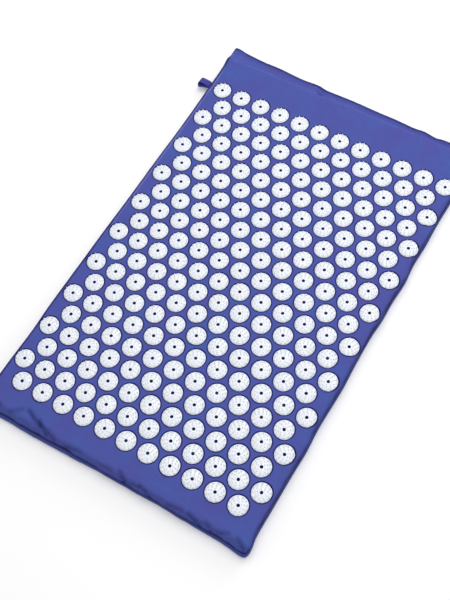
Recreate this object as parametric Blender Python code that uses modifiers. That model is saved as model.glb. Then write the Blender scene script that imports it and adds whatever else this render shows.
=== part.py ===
"""Acupressure mat: a foam pad in a sewn cotton cover set with spiked plastic discs.

Metres, +Z up.  The origin is on the floor, under the middle of the foam pad.
+Y runs along the mat to its closing end, +X across it.
"""
import math

import bmesh
import bpy
from mathutils import Matrix, Vector

# Foam pad
foam_length = 0.652
foam_width = 0.411
foam_thickness = 0.020
foam_edge = 0.003

# Cover cloth and its seam
cloth = 0.0008
clearance = 0.0003
seam_height = 0.011
seam_allowance = 0.002
side_reach = 0.0037
near_reach = 0.0095
side_roll = 0.006
near_roll = 0.011
corner_radius = 0.010
roll_corner_radius = 0.006
wall_bulge = 0.0018
wall_foot = 0.0025
side_draw = 0.0012
near_draw = 0.0018
pucker_depth = 0.0011
pucker_pitch = 0.046

# Closing end: the top flap lies on the bottom hem, tape on tape
hem_reach = 0.0254
hem_width = 0.0135
hem_seam_height = 0.00325
hem_flare = 0.0015
hem_slant = 0.0055
hem_wave = 0.0010
tape_width = 0.011
tape_thickness = 0.0012
tape_end_gap = 0.012
flap_flat = 0.0015

# Spiked discs
disc_pitch = 0.0342
row_pitch = 0.0288
disc_diameter = 0.0272
disc_plate = 0.0018
spike_height = 0.0045
dimple_depth = 0.0012
disc_end_margin = 0.0520
disc_side_margin = 0.0165
disc_sides = 8
disc_field_turn = math.radians(-0.6)
disc_field_shift_x = 0.0030
disc_field_shift_y = -0.0100

# Hanging loop of folded ribbon, sewn in the left seam
loop_reach = 0.0205
loop_end_radius = 0.0043
loop_root_radius = 0.0012
loop_ribbon = 0.0011
loop_eye_start = 0.0045
loop_eye_radius = 0.0003
loop_width = 0.0115
loop_from_ridge = 0.0525

# How the cloth rolls over the foam, as shares of the roll's width and drop
side_roll_shares = ((1.0, 0.0), (0.42, 0.09), (0.12, 0.36), (0.0, 1.0))
near_roll_shares = ((1.0, 0.0), (0.62, 0.13), (0.22, 0.58), (0.0, 1.0))
pucker_shares = (0.0, 0.35, 1.0, 0.25)
wall_shares = ((1.0, 0.0), (0.08, 0.14), (-1.0, 0.55), (0.0, 1.0))
flap_fall_shares = (0.0, 0.30, 0.68, 1.0)
embed_share = 0.6
spike_circle_share = 0.74

# Places worked out from the sizes above
half_width = foam_width / 2 + side_reach
near_seam = -foam_length / 2 - near_reach
ridge = foam_length / 2
loop_place_y = ridge - loop_from_ridge
hem_edge = ridge + hem_reach
hem_start = hem_edge - hem_width
foam_bottom = cloth + clearance
top = foam_bottom + foam_thickness + clearance + cloth
fold_top = 2 * cloth
hook_top = fold_top + clearance + tape_thickness
loop_tape_bottom = hook_top + clearance
flap_fold_bottom = loop_tape_bottom + tape_thickness + clearance
hem_top = flap_fold_bottom + 2 * cloth

# Rows of discs along the mat, and discs across it, that fit between the margins
disc_rows = int((foam_length - 2 * disc_end_margin) / row_pitch) + 1
discs_in_long_row = int((foam_width - 2 * disc_side_margin) / disc_pitch) + 1

corner_steps = 4
side_steps = 6
near_steps = 14
hem_columns = 16


def new_collection(name):
    collection = bpy.data.collections.new(name)
    bpy.context.scene.collection.children.link(collection)
    return collection


def plastic_or_cloth(name, colour, roughness):
    material = bpy.data.materials.new(name)
    material.use_nodes = True
    shader = material.node_tree.nodes["Principled BSDF"]
    shader.inputs["Base Color"].default_value = (*colour, 1.0)
    shader.inputs["Roughness"].default_value = roughness
    shader.inputs["Metallic"].default_value = 0.0
    return material


def add_object(name, mesh, collection, *materials):
    piece = bpy.data.objects.new(name, mesh)
    for material in materials:
        piece.data.materials.append(material)
    collection.objects.link(piece)
    return piece


def shade_round(mesh):
    mesh.shade_smooth()
    mesh.set_sharp_from_angle(angle=math.radians(40))


def mesh_from(bm, name):
    mesh = bpy.data.meshes.new(name)
    bm.to_mesh(mesh)
    bm.free()
    return mesh


def side_pull(y):
    """The long sides are drawn in a little at mid length."""
    along = min(abs(y) / ridge, 1.0)
    return side_draw * (1 - along * along)


def near_pull(x):
    """So is the near end, between its corners."""
    across = min(abs(x) / half_width, 1.0)
    return near_draw * (1 - across * across)


def pucker(x):
    """Small gathers where the near seam is sewn, dying away at the corners."""
    turn = 2 * math.pi * x / pucker_pitch
    wave = math.sin(turn) + 0.5 * math.sin(1.7 * turn + 1.0)
    across = min(abs(x) / half_width, 1.0)
    return pucker_depth * wave * (1 - across ** 4)


def cover_outline(side_inset, near_inset, radius, gather):
    """A U shaped line round both long sides and the near end.

    Each point is (x, y, turn); turn is 0 along a side and 1 along the near end.
    """
    wide = half_width - side_inset
    near = near_seam + near_inset
    points = []
    for step in range(side_steps):
        y = ridge + (near + radius - ridge) * step / side_steps
        points.append((-wide + side_pull(y), y, 0.0))
    for step in range(corner_steps + 1):
        turn = step / corner_steps
        angle = math.pi * (1 + turn / 2)
        centre_x = -wide + radius + side_pull(near + radius)
        points.append((centre_x + radius * math.cos(angle), near + radius + radius * math.sin(angle), turn))
    start = points[-1][0]
    for step in range(1, near_steps // 2 + 1):
        x = start * (1 - step / (near_steps // 2))
        points.append((x, near + near_pull(x) - near_pull(start), 1.0))
    mirrored = [(-x, y, turn) for x, y, turn in reversed(points[:-1])]
    return [(x, y + pucker(x) * gather * turn, turn) for x, y, turn in points + mirrored]


def seam_level(fall):
    """Height of the seam: level along the sides, then down from the ridge to the hem as fall goes from 0 to 1."""
    return seam_height + (hem_seam_height - seam_height) * fall


def top_seam(fall):
    return seam_level(fall) + clearance / 2


def bottom_seam(fall):
    return seam_level(fall) - clearance / 2


def loft(rings, cap):
    """Joins open rings of points with quads; the first ring is capped if asked."""
    bm = bmesh.new()
    rows = [[bm.verts.new(point) for point in ring] for ring in rings]
    for upper, lower in zip(rows, rows[1:]):
        for i in range(len(upper) - 1):
            bm.faces.new((upper[i], upper[i + 1], lower[i + 1], lower[i]))
    if cap:
        bm.faces.new(rows[0])
    return bm


def face_outwards(bm, want_up):
    """Turns the open surface so that its largest face looks up, or down."""
    bmesh.ops.recalc_face_normals(bm, faces=bm.faces[:])
    largest = max(bm.faces, key=lambda face: face.calc_area())
    if (largest.normal.z > 0) != want_up:
        bmesh.ops.reverse_faces(bm, faces=bm.faces[:])


def thicken(piece, thickness):
    wall = piece.modifiers.new("cloth thickness", "SOLIDIFY")
    wall.thickness = thickness
    wall.offset = -1
    wall.use_even_offset = True
    return wall


def disc_mesh():
    """One disc: a round plate whose top is raised into a ring of pointed spikes."""
    bm = bmesh.new()
    embed = cloth * embed_share
    height = disc_plate + embed
    radius = disc_diameter / 2
    bmesh.ops.create_cone(bm, cap_ends=True, segments=disc_sides, radius1=radius, radius2=radius, depth=height)
    bmesh.ops.translate(bm, vec=(0, 0, top - embed + height / 2), verts=bm.verts[:])
    upper = max(bm.faces, key=lambda face: face.calc_center_median().z)
    fan = bmesh.ops.poke(bm, faces=[upper])
    centre = fan["verts"][0]
    spikes = bmesh.ops.poke(bm, faces=fan["faces"], offset=spike_height)
    for tip in spikes["verts"]:
        out = Vector((tip.co.x, tip.co.y, 0)).normalized() * radius * spike_circle_share
        tip.co.x = out.x
        tip.co.y = out.y
    centre.co.z -= dimple_depth
    return mesh_from(bm, "spiked_disc")


def disc_places():
    """Rows across the mat, long and short in turn, so the discs nest."""
    turn = Matrix.Rotation(disc_field_turn, 3, "Z")
    shift = Vector((disc_field_shift_x, disc_field_shift_y, 0))
    places = []
    for row in range(disc_rows):
        count = discs_in_long_row - row % 2
        y = ((disc_rows - 1) / 2 - row) * row_pitch
        for column in range(count):
            x = (column - (count - 1) / 2) * disc_pitch
            places.append(turn @ Vector((x, y, 0)) + shift)
    return places


def disc_field(collection, plastic):
    """All discs in one mesh, ready to be joined to the cloth that carries them."""
    one = disc_mesh()
    bm = bmesh.new()
    for place in disc_places():
        before = len(bm.verts)
        bm.from_mesh(one)
        bm.verts.ensure_lookup_table()
        bmesh.ops.translate(bm, vec=place, verts=bm.verts[before:])
    bpy.data.meshes.remove(one)
    field = add_object("disc_field", mesh_from(bm, "disc_field"), collection, plastic)
    field.hide_render = True
    field.display_type = "WIRE"
    return field


def top_rings():
    """Rings of the top cloth, from the edge of its flat out and down to the seam."""
    edge = top_seam(0.0)
    rings = []
    for side, near, gather in zip(side_roll_shares, near_roll_shares, pucker_shares):
        radius = corner_radius + (roll_corner_radius - corner_radius) * side[0]
        outline = cover_outline(side_roll * side[0], near_roll * near[0], radius, gather)
        ring = []
        for x, y, turn in outline:
            drop = side[1] + (near[1] - side[1]) * turn
            ring.append((x, y, top - (top - edge) * drop))
        rings.append(ring)
    rings.append([(x, y, edge) for x, y, turn in tuck_outline()])
    return rings


def tuck_outline():
    """The inner edge of the cloth turned in at the seam."""
    return cover_outline(seam_allowance, seam_allowance, corner_radius - seam_allowance, pucker_shares[-1])


def top_panel(collection, tools, cotton, plastic):
    bm = loft(top_rings(), cap=True)
    face_outwards(bm, want_up=True)
    panel = add_object("top_panel", mesh_from(bm, "top_panel"), collection, cotton, plastic)
    thicken(panel, cloth)
    union = panel.modifiers.new("discs sealed to the cloth", "BOOLEAN")
    union.operation = "UNION"
    union.solver = "EXACT"
    union.object = disc_field(tools, plastic)
    union.material_mode = "TRANSFER"
    return panel


def bottom_rings():
    """Rings of the bottom cloth, from its flat sole out and up to the seam."""
    edge = bottom_seam(0.0)
    rings = []
    for inset, rise in wall_shares:
        reach = wall_foot * inset if inset > 0 else wall_bulge * inset
        outline = cover_outline(reach, reach, corner_radius - max(reach, 0.0), pucker_shares[-1] * rise)
        rings.append([(x, y, edge * rise) for x, y, turn in outline])
    rings.append([(x, y, edge) for x, y, turn in tuck_outline()])
    return [add_closing_end(ring) for ring in rings]


def hem_ripple(x):
    return hem_wave * math.sin(3 * math.pi * x / half_width)


def hem_y(x):
    """The hem lies slightly askew: its left end reaches further than its right."""
    return -hem_slant * x / half_width


def add_closing_end(ring):
    """Runs a ring of the bottom cloth on past the foam to the hem, falling as it goes."""
    first = ring[0]
    last = ring[-1]
    height = first[2] * bottom_seam(1.0) / bottom_seam(0.0)
    left = []
    right = []
    for y in (hem_edge, hem_start):
        x = first[0] - hem_flare
        left.append((x, y + hem_y(x), height))
        x = last[0] + hem_flare
        right.append((x, y + hem_y(x), height))
    return left + ring + right[::-1]


def bottom_panel(collection, tools, cotton):
    bm = loft(bottom_rings(), cap=True)
    face_outwards(bm, want_up=False)
    panel = add_object("bottom_panel", mesh_from(bm, "bottom_panel"), collection, cotton)
    thicken(panel, cloth)
    fold = hem_fold("bottom_hem_fold", tools, cloth * embed_share, fold_top)
    join(panel, fold, "hem folded back")
    return panel


def slanted_strip(name, width, length, middle_y, low, high):
    """A flat strip across the mat that follows the slant of the hem."""
    bm = bmesh.new()
    bmesh.ops.create_cube(bm, size=1)
    bmesh.ops.scale(bm, vec=(length, width, high - low), verts=bm.verts[:])
    bmesh.ops.translate(bm, vec=(0, middle_y, (low + high) / 2), verts=bm.verts[:])
    for corner in bm.verts:
        corner.co.y += hem_y(corner.co.x)
    return mesh_from(bm, name)


def hem_middle():
    return hem_edge - hem_width / 2


def hem_fold(name, tools, low, high):
    length = 2 * (half_width - tape_end_gap / 2)
    width = hem_width - 3 * cloth
    fold = add_object(name, slanted_strip(name, width, length, hem_middle(), low, high), tools)
    fold.hide_render = True
    fold.display_type = "WIRE"
    return fold


def join(piece, other, label):
    union = piece.modifiers.new(label, "BOOLEAN")
    union.operation = "UNION"
    union.solver = "EXACT"
    union.object = other


def tape(name, collection, material, low):
    length = 2 * (half_width - tape_end_gap)
    mesh = slanted_strip(name, tape_width, length, hem_middle(), low, low + tape_thickness)
    return add_object(name, mesh, collection, material)


def flap_row(height, fall):
    """One line across the flap as (x, z), arched like the cover's end and low at the hem."""
    sag = height - top_seam(fall)
    edge = []
    for inset, drop in reversed(side_roll_shares):
        x = half_width - side_roll * inset - side_pull(ridge) + hem_flare * fall
        edge.append((x, height - sag * drop))
    inner = edge[-1][0]
    middle = [(inner * (2 * step / hem_columns - 1), height) for step in range(1, hem_columns)]
    return [(-x, z) for x, z in edge] + middle + edge[::-1]


def closure_flap(collection, tools, cotton):
    start = ridge + clearance
    run = hem_start - start
    rings = [[(x, start, z) for x, z in flap_row(top, 0.0)]]
    for share in flap_fall_shares:
        fall = (flap_flat + (run - flap_flat) * share) / run
        row = flap_row(top + (hem_top - top) * share, fall)
        rings.append([(x, start + (run + hem_y(x)) * fall, z) for x, z in row])
    rings.append([(x, hem_edge + hem_y(x) + hem_ripple(x), z) for x, z in flap_row(hem_top, 1.0)])
    bm = loft(rings, cap=False)
    face_outwards(bm, want_up=True)
    flap = add_object("closure_flap", mesh_from(bm, "closure_flap"), collection, cotton)
    thicken(flap, cloth)
    fold = hem_fold("flap_hem_fold", tools, flap_fold_bottom, hem_top - cloth * embed_share)
    join(flap, fold, "hem folded back")
    return flap


def hang_on_hinge(pieces, collection):
    """The flap opens about the line where it leaves the top of the foam."""
    hinge = bpy.data.objects.new("closure_hinge", None)
    hinge.location = (0, ridge + clearance, top)
    collection.objects.link(hinge)
    for piece in pieces:
        piece.data.transform(Matrix.Translation(-hinge.location))
        piece.parent = hinge


def hull_of_two_circles(near_x, near_radius, far_x, far_radius, steps):
    """The outline of a band drawn round two circles on one line, as (x, z)."""
    lean = math.asin((far_radius - near_radius) / (far_x - near_x))
    points = []
    for step in range(steps + 1):
        angle = math.pi / 2 + lean - (math.pi + 2 * lean) * step / steps
        points.append((far_x + far_radius * math.cos(angle), far_radius * math.sin(angle)))
    for step in range(steps // 2 + 1):
        angle = -math.pi / 2 - lean - (math.pi - 2 * lean) * step / (steps // 2)
        points.append((near_x + near_radius * math.cos(angle), near_radius * math.sin(angle)))
    return points


def add_spline(curve, points):
    spline = curve.splines.new("POLY")
    spline.points.add(len(points) - 1)
    for target, (x, y) in zip(spline.points, points):
        target.co = (x, y, 0, 1)
    spline.use_cyclic_u = True


def hanging_loop(collection, tape_material):
    """A ribbon folded on itself: its two ends meet in the seam, its eye stays open."""
    curve = bpy.data.curves.new("hanging_loop_outline", "CURVE")
    curve.dimensions = "2D"
    curve.fill_mode = "BOTH"
    curve.extrude = loop_width / 2
    end_x = loop_reach - loop_end_radius - clearance
    outer = hull_of_two_circles(loop_root_radius, loop_root_radius, end_x, loop_end_radius, 12)
    eye_radius = loop_end_radius - loop_ribbon
    eye = hull_of_two_circles(loop_eye_start, loop_eye_radius, end_x, eye_radius, 12)
    add_spline(curve, outer)
    add_spline(curve, eye)
    outline = bpy.data.objects.new("hanging_loop_outline", curve)
    collection.objects.link(outline)
    bpy.context.view_layer.update()
    depsgraph = bpy.context.evaluated_depsgraph_get()
    mesh = bpy.data.meshes.new_from_object(outline.evaluated_get(depsgraph))
    bpy.data.objects.remove(outline)
    bpy.data.curves.remove(curve)
    bm = bmesh.new()
    bm.from_mesh(mesh)
    bmesh.ops.remove_doubles(bm, verts=bm.verts[:], dist=clearance / 10)
    stand = Matrix.Rotation(math.pi / 2, 4, "X")
    face_left = Matrix.Rotation(math.pi, 4, "Z")
    bmesh.ops.transform(bm, matrix=face_left @ stand, verts=bm.verts[:])
    bmesh.ops.translate(bm, vec=(loop_root_radius, 0, 0), verts=bm.verts[:])
    bmesh.ops.recalc_face_normals(bm, faces=bm.faces[:])
    bm.to_mesh(mesh)
    bm.free()
    mesh.name = "hanging_loop"
    loop = add_object("hanging_loop", mesh, collection, tape_material)
    side = half_width - side_pull(loop_place_y)
    loop.location = (-side - clearance - loop_root_radius, loop_place_y, seam_height)
    shade_round(mesh)
    return loop


def foam_pad(collection, foam):
    bpy.ops.mesh.primitive_cube_add(size=1)
    pad = bpy.context.active_object
    pad.name = "foam_pad"
    pad.data.name = "foam_pad"
    pad.data.transform(Matrix.Diagonal((foam_width, foam_length, foam_thickness, 1)))
    pad.location = (0, 0, foam_bottom + foam_thickness / 2)
    pad.data.materials.append(foam)
    for owner in pad.users_collection:
        owner.objects.unlink(pad)
    collection.objects.link(pad)
    edge = pad.modifiers.new("cut edges", "BEVEL")
    edge.width = foam_edge
    edge.segments = 2
    return pad


def main():
    for old in list(bpy.data.objects):
        bpy.data.objects.remove(old)
    mat = new_collection("acupressure_mat")
    tools = new_collection("joined_shapes")
    cotton = plastic_or_cloth("indigo cotton canvas", (0.080, 0.089, 0.392), 0.9)
    plastic = plastic_or_cloth("white moulded ABS", (0.83, 0.83, 0.87), 0.35)
    foam = plastic_or_cloth("cut polyurethane foam", (0.86, 0.80, 0.62), 1.0)
    hook = plastic_or_cloth("hook tape", (0.05, 0.055, 0.25), 0.7)
    pile = plastic_or_cloth("loop pile tape", (0.06, 0.066, 0.30), 1.0)
    ribbon = plastic_or_cloth("folded cotton ribbon", (0.085, 0.075, 0.36), 0.9)

    foam_pad(mat, foam)
    bottom_panel(mat, tools, cotton)
    top_panel(mat, tools, cotton, plastic)
    tape("hook_tape", mat, hook, fold_top + clearance)
    pile_tape = tape("loop_tape", mat, pile, loop_tape_bottom)
    flap = closure_flap(mat, tools, cotton)
    hang_on_hinge((flap, pile_tape), mat)
    hanging_loop(mat, ribbon)


main()
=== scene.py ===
# %% [markdown]
# # A spiked acupressure mat
# The mat is a slab of foam in a sewn cotton cover. 230 moulded plastic discs,
# each with 27 short spikes, are welded through the top of the cover. One end
# of the cover is a flap that opens on hook and loop tape, and a folded strip
# of cotton in the left seam makes a hanging loop.
#
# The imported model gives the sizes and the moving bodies. Here each of its
# plain pieces gets a finer one that stands for it.

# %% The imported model
import math
import random

import bmesh
import bpy
import numpy as np
from mathutils import Matrix, Vector


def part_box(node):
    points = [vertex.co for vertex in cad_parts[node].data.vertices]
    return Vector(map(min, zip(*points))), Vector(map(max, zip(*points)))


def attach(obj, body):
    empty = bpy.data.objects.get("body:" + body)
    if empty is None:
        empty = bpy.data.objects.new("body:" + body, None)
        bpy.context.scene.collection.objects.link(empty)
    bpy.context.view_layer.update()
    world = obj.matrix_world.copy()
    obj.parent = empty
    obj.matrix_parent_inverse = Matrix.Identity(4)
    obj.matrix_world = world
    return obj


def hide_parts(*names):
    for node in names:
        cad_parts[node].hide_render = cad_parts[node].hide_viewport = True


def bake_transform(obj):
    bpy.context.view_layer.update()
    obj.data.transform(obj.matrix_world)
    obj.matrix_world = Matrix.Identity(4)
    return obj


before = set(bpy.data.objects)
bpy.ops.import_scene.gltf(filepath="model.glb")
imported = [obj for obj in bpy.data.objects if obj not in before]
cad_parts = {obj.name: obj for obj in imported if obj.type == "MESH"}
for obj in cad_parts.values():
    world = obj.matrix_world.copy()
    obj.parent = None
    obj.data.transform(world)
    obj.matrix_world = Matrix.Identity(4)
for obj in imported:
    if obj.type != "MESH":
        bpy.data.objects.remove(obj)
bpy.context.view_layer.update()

for node_name in sorted(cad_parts):
    low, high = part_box(node_name)
    print(node_name, [round(1000 * size, 1) for size in high - low], "mm")

# %% [markdown]
# ## The camera
# The photographer stood at the near right corner, 1.4 m away, and looked down
# at about 62 degrees. The place, turn and lens were fitted to the grid of
# discs, whose rows are straight and evenly spaced, so they aren't guessed.
# Blender counts in metres, but sizes are easier to read in millimetres.

# %% Camera


def mm(size):
    return size / 1000


camera = bpy.data.objects.new("camera", bpy.data.cameras.new("camera"))
bpy.context.scene.collection.objects.link(camera)
camera.location = (0.42940, -0.54488, 1.27205)
camera.rotation_euler = (0.475198, 0.084019, 0.538878)
camera.data.lens = 61.18
camera.data.sensor_width = 36
camera.data.clip_start = mm(10)
bpy.context.scene.camera = camera
print("camera", round(camera.location.length, 2), "m from the middle of the mat")

# %% [markdown]
# ## Sizes of the cover
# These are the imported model's own sizes. The top cloth lies flat on the foam,
# rolls over its edge and meets the bottom cloth in a seam half way down. At
# the far end it runs down from the ridge to a hem that lies on the bottom
# cloth's hem. Heights are over the floor, and y grows towards the far end.

# %% Cover sizes
half_width = mm(209.2)
near_seam = mm(-335.5)
ridge = mm(326)
top = mm(22.2)
cloth = mm(0.8)
seam_height = mm(11)
seam_gap = mm(0.3)
side_zone = mm(10)
near_zone = mm(16)
hem_edge = mm(351.4)
hem_width = mm(13.5)
hem_top = mm(6.5)
hem_seam_height = mm(3.25)
hem_flare = mm(1.5)
hem_start = hem_edge - hem_width
print("cover", round(2000 * half_width), "mm by", round(1000 * (hem_edge - near_seam)), "mm")

# %% [markdown]
# ## Where the discs sit
# The rows have twelve discs and eleven in turn, each row shifted by half a
# pitch, so that the discs nest. The pattern sits a little askew on the cover,
# so it is turned and shifted.

# %% Disc places
disc_pitch = mm(34.2)
row_pitch = mm(28.8)
disc_radius = mm(13.6)
field_turn = math.radians(-0.6)
field_shift = Vector((mm(3.0), mm(-10.0), 0))

row_count = 20
longest_row = 12

disc_rows = []
for row in range(row_count):
    count = longest_row - row % 2
    places = []
    for column in range(count):
        across = (column - (count - 1) / 2) * disc_pitch
        along = ((row_count - 1) / 2 - row) * row_pitch
        straight = Vector((across, along, 0))
        places.append(Matrix.Rotation(field_turn, 3, "Z") @ straight + field_shift)
    disc_rows.append(places)
disc_centres = np.array([place[:2] for places in disc_rows for place in places])
print(len(disc_centres), "discs")

# %% [markdown]
# ## The shape of a cloth drawn over an edge
# A cloth sheet is a grid. Its outer columns and rows roll over the foam's edge,
# counted by a share from 0, still flat, to 1 at the seam, and past 1 for the
# cloth turned in there. A table for each side says how far out and how far
# down the cloth is at each share: roll for the top cloth, sole for the bottom
# one. Both pull in at the seam, which makes the crease round the mat; painted
# shade darkens it further.

# %% Roll of the cloth
roll_shares = [0.0, 0.18, 0.36, 0.52, 0.66, 0.78, 0.88, 0.95, 1.0]
zone_shares = [1.5, 1.25] + roll_shares[::-1]
left_roll = [
    (0, 0), (0.19, -0.02), (0.38, -0.04), (0.55, 0.0), (0.70, 0.11),
    (0.83, 0.27), (0.93, 0.47), (0.99, 0.72), (0.96, 1.0),
]
right_roll = [
    (0, 0), (0.28, -0.01), (0.55, -0.03), (0.78, 0.01), (0.93, 0.12),
    (1.0, 0.32), (1.0, 0.58), (0.95, 0.82), (0.84, 1.0),
]
near_roll = [
    (0, 0), (0.22, 0.01), (0.41, 0.05), (0.57, 0.13), (0.70, 0.26),
    (0.79, 0.43), (0.85, 0.63), (0.86, 0.83), (0.80, 1.0),
]
right_sole = [
    (0, 0), (0.35, 0), (0.70, 0.01), (0.93, 0.06), (1.0, 0.2),
    (1.01, 0.4), (1.0, 0.62), (0.95, 0.84), (0.84, 1.0),
]
left_sole = [
    (0, 0), (0.35, 0), (0.70, 0.01), (0.90, 0.06), (0.96, 0.2),
    (0.98, 0.4), (0.98, 0.62), (0.97, 0.84), (0.96, 1.0),
]
near_sole = [
    (0, 0), (0.35, 0), (0.70, 0.0), (0.97, 0.04), (1.09, 0.15),
    (1.13, 0.33), (1.09, 0.56), (0.98, 0.80), (0.80, 1.0),
]
print("the left edge stands out by", round(1000 * side_zone * max(left_roll)[0], 1), "mm")

# %% [markdown]
# ## A sewn cover is never straight
# Between its corners each side is drawn in by a few millimetres, because the
# seam is shorter than the foam's edge. These tables say how far the sides of
# this mat swing out (+) or in (-), in millimetres, worked out from the
# photograph's outline with the fitted camera.

# %% Swing of the sides
right_swing = [
    (-336, 1.8), (-322, 1.1), (-306, -1.5), (-262, -1.5), (-205, -1.2), (-170, -0.1), (-150, -2.2),
    (-100, -1.2), (-75, -0.4), (-45, -2.0), (22, -2.4), (34, -0.3), (70, -1.2), (108, 1.4), (132, -1.9),
    (170, -0.1), (205, -1.3), (260, -0.1), (352, 0.0),
]
left_swing = [
    (-336, -1.0), (-260, -0.9), (-215, -2.0), (-170, -0.5), (-80, -0.8), (-30, -0.8), (10, -1.5),
    (100, -1.9), (190, -2.5), (250, -1.4), (290, -0.4), (312, 0.5), (326, 3.0), (340, 5.6), (352, 5.6),
]
near_swing = [
    (-209, 0.8), (-190, -0.6), (-150, -1.3), (-120, -0.8), (-95, -1.7), (-70, -2.1), (-40, -2.0), (-10, -1.3),
    (35, -1.3), (90, -2.1), (112, -1.0), (145, -2.3), (160, -2.8), (182, -2.8), (197, -1.3), (209, -1.2),
]
hem_swing = [
    (-213, 3.8), (-203, 4.1), (-190, 1.5), (-160, -0.3), (-132, 0.3), (-104, -1.1), (-84, -1.4),
    (-61, 0.4), (-47, -2.2), (-30, -1.9), (0, -0.9), (50, -1.3), (75, -0.9), (105, -1.8), (122, -0.1),
    (141, -2.5), (152, -0.5), (175, 0.3), (200, -0.6), (213, 0.3),
]
print("the far left corner swings out by", left_swing[-1][1], "mm")

# %% [markdown]
# ## Following the swing
# A smooth curve runs through each table. The swing fades in over the outer
# fifth of the half width, and over the last seventh of the half length. Past
# the ridge the cover moves with its hem, which runs askew.

# %% Swung points
side_swing_from = 0.8
near_swing_from = 0.86
hem_skew = mm(5.2)


def between(value, low, high):
    """How far a value is from low to high, kept between 0 and 1."""
    return min(max((value - low) / (high - low), 0.0), 1.0)


def swing(table, place):
    """The swing at a place along a side, on a smooth curve through its table."""
    places = [row[0] for row in table]
    right = min(max(np.searchsorted(places, 1000 * place), 1), len(places) - 1)
    (start, low), (end, high) = table[right - 1], table[right]
    before = table[max(right - 2, 0)]
    after = table[min(right + 1, len(table) - 1)]
    reach = end - start
    share = between(1000 * place, start, end)
    rise_in = reach * (high - before[1]) / (end - before[0])
    rise_out = reach * (after[1] - low) / (after[0] - start)
    eased = low + (high - low) * share * share * (3 - 2 * share)
    bent = rise_in * share * (1 - share) ** 2 - rise_out * share * share * (1 - share)
    return mm(eased + bent)


def swung(x, y, fall):
    """A point of the cover, moved with the nearest sides, and past the ridge with the hem."""
    to_side = between(abs(x) / half_width, side_swing_from, 1)
    to_near = between(y / near_seam, near_swing_from, 1)
    table = right_swing if x > 0 else left_swing
    out = swing(table, y) + hem_flare * fall
    across = out * to_side ** 2 * (1 if x > 0 else -1)
    along = -swing(near_swing, x) * to_near ** 2 + hem_slant(x) * fall
    return x + across, y + along


def hem_slant(x):
    """How far along y the hem is off its straight line: it runs askew, with small steps."""
    return -hem_skew * x / half_width + swing(hem_swing, x)


print("the near side's middle is drawn in by", round(-1000 * swing(near_swing, 0), 1), "mm")

# %% [markdown]
# ## Puckers at the near seam
# The cloth is gathered at the near seam, with short folds across it at uneven
# distances. Four waves of different lengths add up to such folds.

# %% Puckers
at_seam = mm(0.5)
side_step = mm(6)


def pucker(x):
    """Between -1 and 1, the unevenness of the gathered seam at x."""
    waves = ((mm(47), 0.9, 0.35), (mm(23), 2.3, 0.3), (mm(13.5), 4.1, 0.2), (mm(8.3), 1.2, 0.15))
    return sum(size * math.sin(2 * math.pi * x / length + phase) for length, phase, size in waves)


def gather(x, ring, toward_near, swell):
    """How far out the gathers move the cloth: a little at the seam, up to the swell above it."""
    ring = min(ring, 1.0)
    above = 6.8 * ring * ring * (1 - ring)  # about 1 at two thirds of the roll, 0 at both ends
    return toward_near * (at_seam * pucker(x) * ring * ring + swell * pucker(x + side_step) * above)


print("pucker at the middle:", round(pucker(0), 2))

# %% [markdown]
# ## Dents
# The cloth above the puckers is dented where it has slack. Each dent is a
# furrow between two points, and so are the flap's folds further on.

# %% Dents
dents_end = mm(-290)

# Each dent: the x and y of its two ends, its width and its depth, in millimetres.
dents = [
    (-205, -326, -176, -325, 2.8, 1.6),
    (-160, -326, -146, -315, 3.2, 1.2),
    (-137, -312, -112, -324, 2.9, 2.2),
    (-117, -317, -98, -330, 2.6, 2.0),
    (-102, -322, -86, -329, 2.6, 1.8),
    (-70, -330, -44, -326, 2.4, 1.3),
    (-12, -328, 6, -326, 2.2, 1.2),
    (15, -321, 27, -331, 2.6, 2.0),
    (34, -331, 48, -327, 2.1, 1.0),
    (48, -325, 64, -331, 2.4, 1.8),
    (92, -329, 112, -326, 2.4, 1.2),
    (122, -325, 140, -332, 2.6, 2.0),
    (147, -324, 157, -331, 2.4, 1.6),
    (166, -328, 178, -322, 2.6, 1.2),
    (192, -322, 204, -330, 2.6, 1.8),
]


def furrows(table, x, y):
    """How much the folds or dents of a table lift the cloth at a point."""
    lift = 0.0
    for x0, y0, x1, y1, width, height in table:
        along = Vector((x1 - x0, y1 - y0))
        share = (Vector((1000 * x - x0, 1000 * y - y0)).dot(along)) / along.length_squared
        near = Vector((x0, y0)) + along * min(max(share, 0.0), 1.0)
        away = (Vector((1000 * x, 1000 * y)) - near).length
        lift += height * math.exp(-(away / width) ** 2)
    return mm(lift)


print(len(dents), "dents")

# %% [markdown]
# ## Making a piece
# An operator acts on whatever is selected, so picking one object starts by
# deselecting all the others.

# %% New pieces


def pick(piece):
    bpy.ops.object.select_all(action="DESELECT")
    piece.select_set(True)
    bpy.context.view_layer.objects.active = piece


def settle(piece):
    """Puts the place, turn and size of a piece into its mesh."""
    pick(piece)
    bpy.ops.object.transform_apply(location=True, rotation=True, scale=True)


def edit(piece):
    """Opens a piece in edit mode, with all of it selected."""
    pick(piece)
    bpy.ops.object.mode_set(mode="EDIT")
    bpy.ops.mesh.select_all(action="SELECT")


def new_piece(name, add_primitive, **sizes):
    """Adds a primitive with nothing else selected, and names it."""
    bpy.ops.object.select_all(action="DESELECT")
    add_primitive(**sizes)
    piece = bpy.context.active_object
    piece.name = name
    piece.data.name = name
    return piece


# %% [markdown]
# ## The grid of a cover sheet
# The columns are close together in the roll, where the cloth bends sharply,
# and about 4 mm apart on the flat. The rows are close together at both ends.
# Each point of a flat grid is moved to its place on the cover. Two attributes
# tell the material how much painted shade and painted highlight each point takes.

# %% Grid of a sheet
flat_columns = 92


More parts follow.
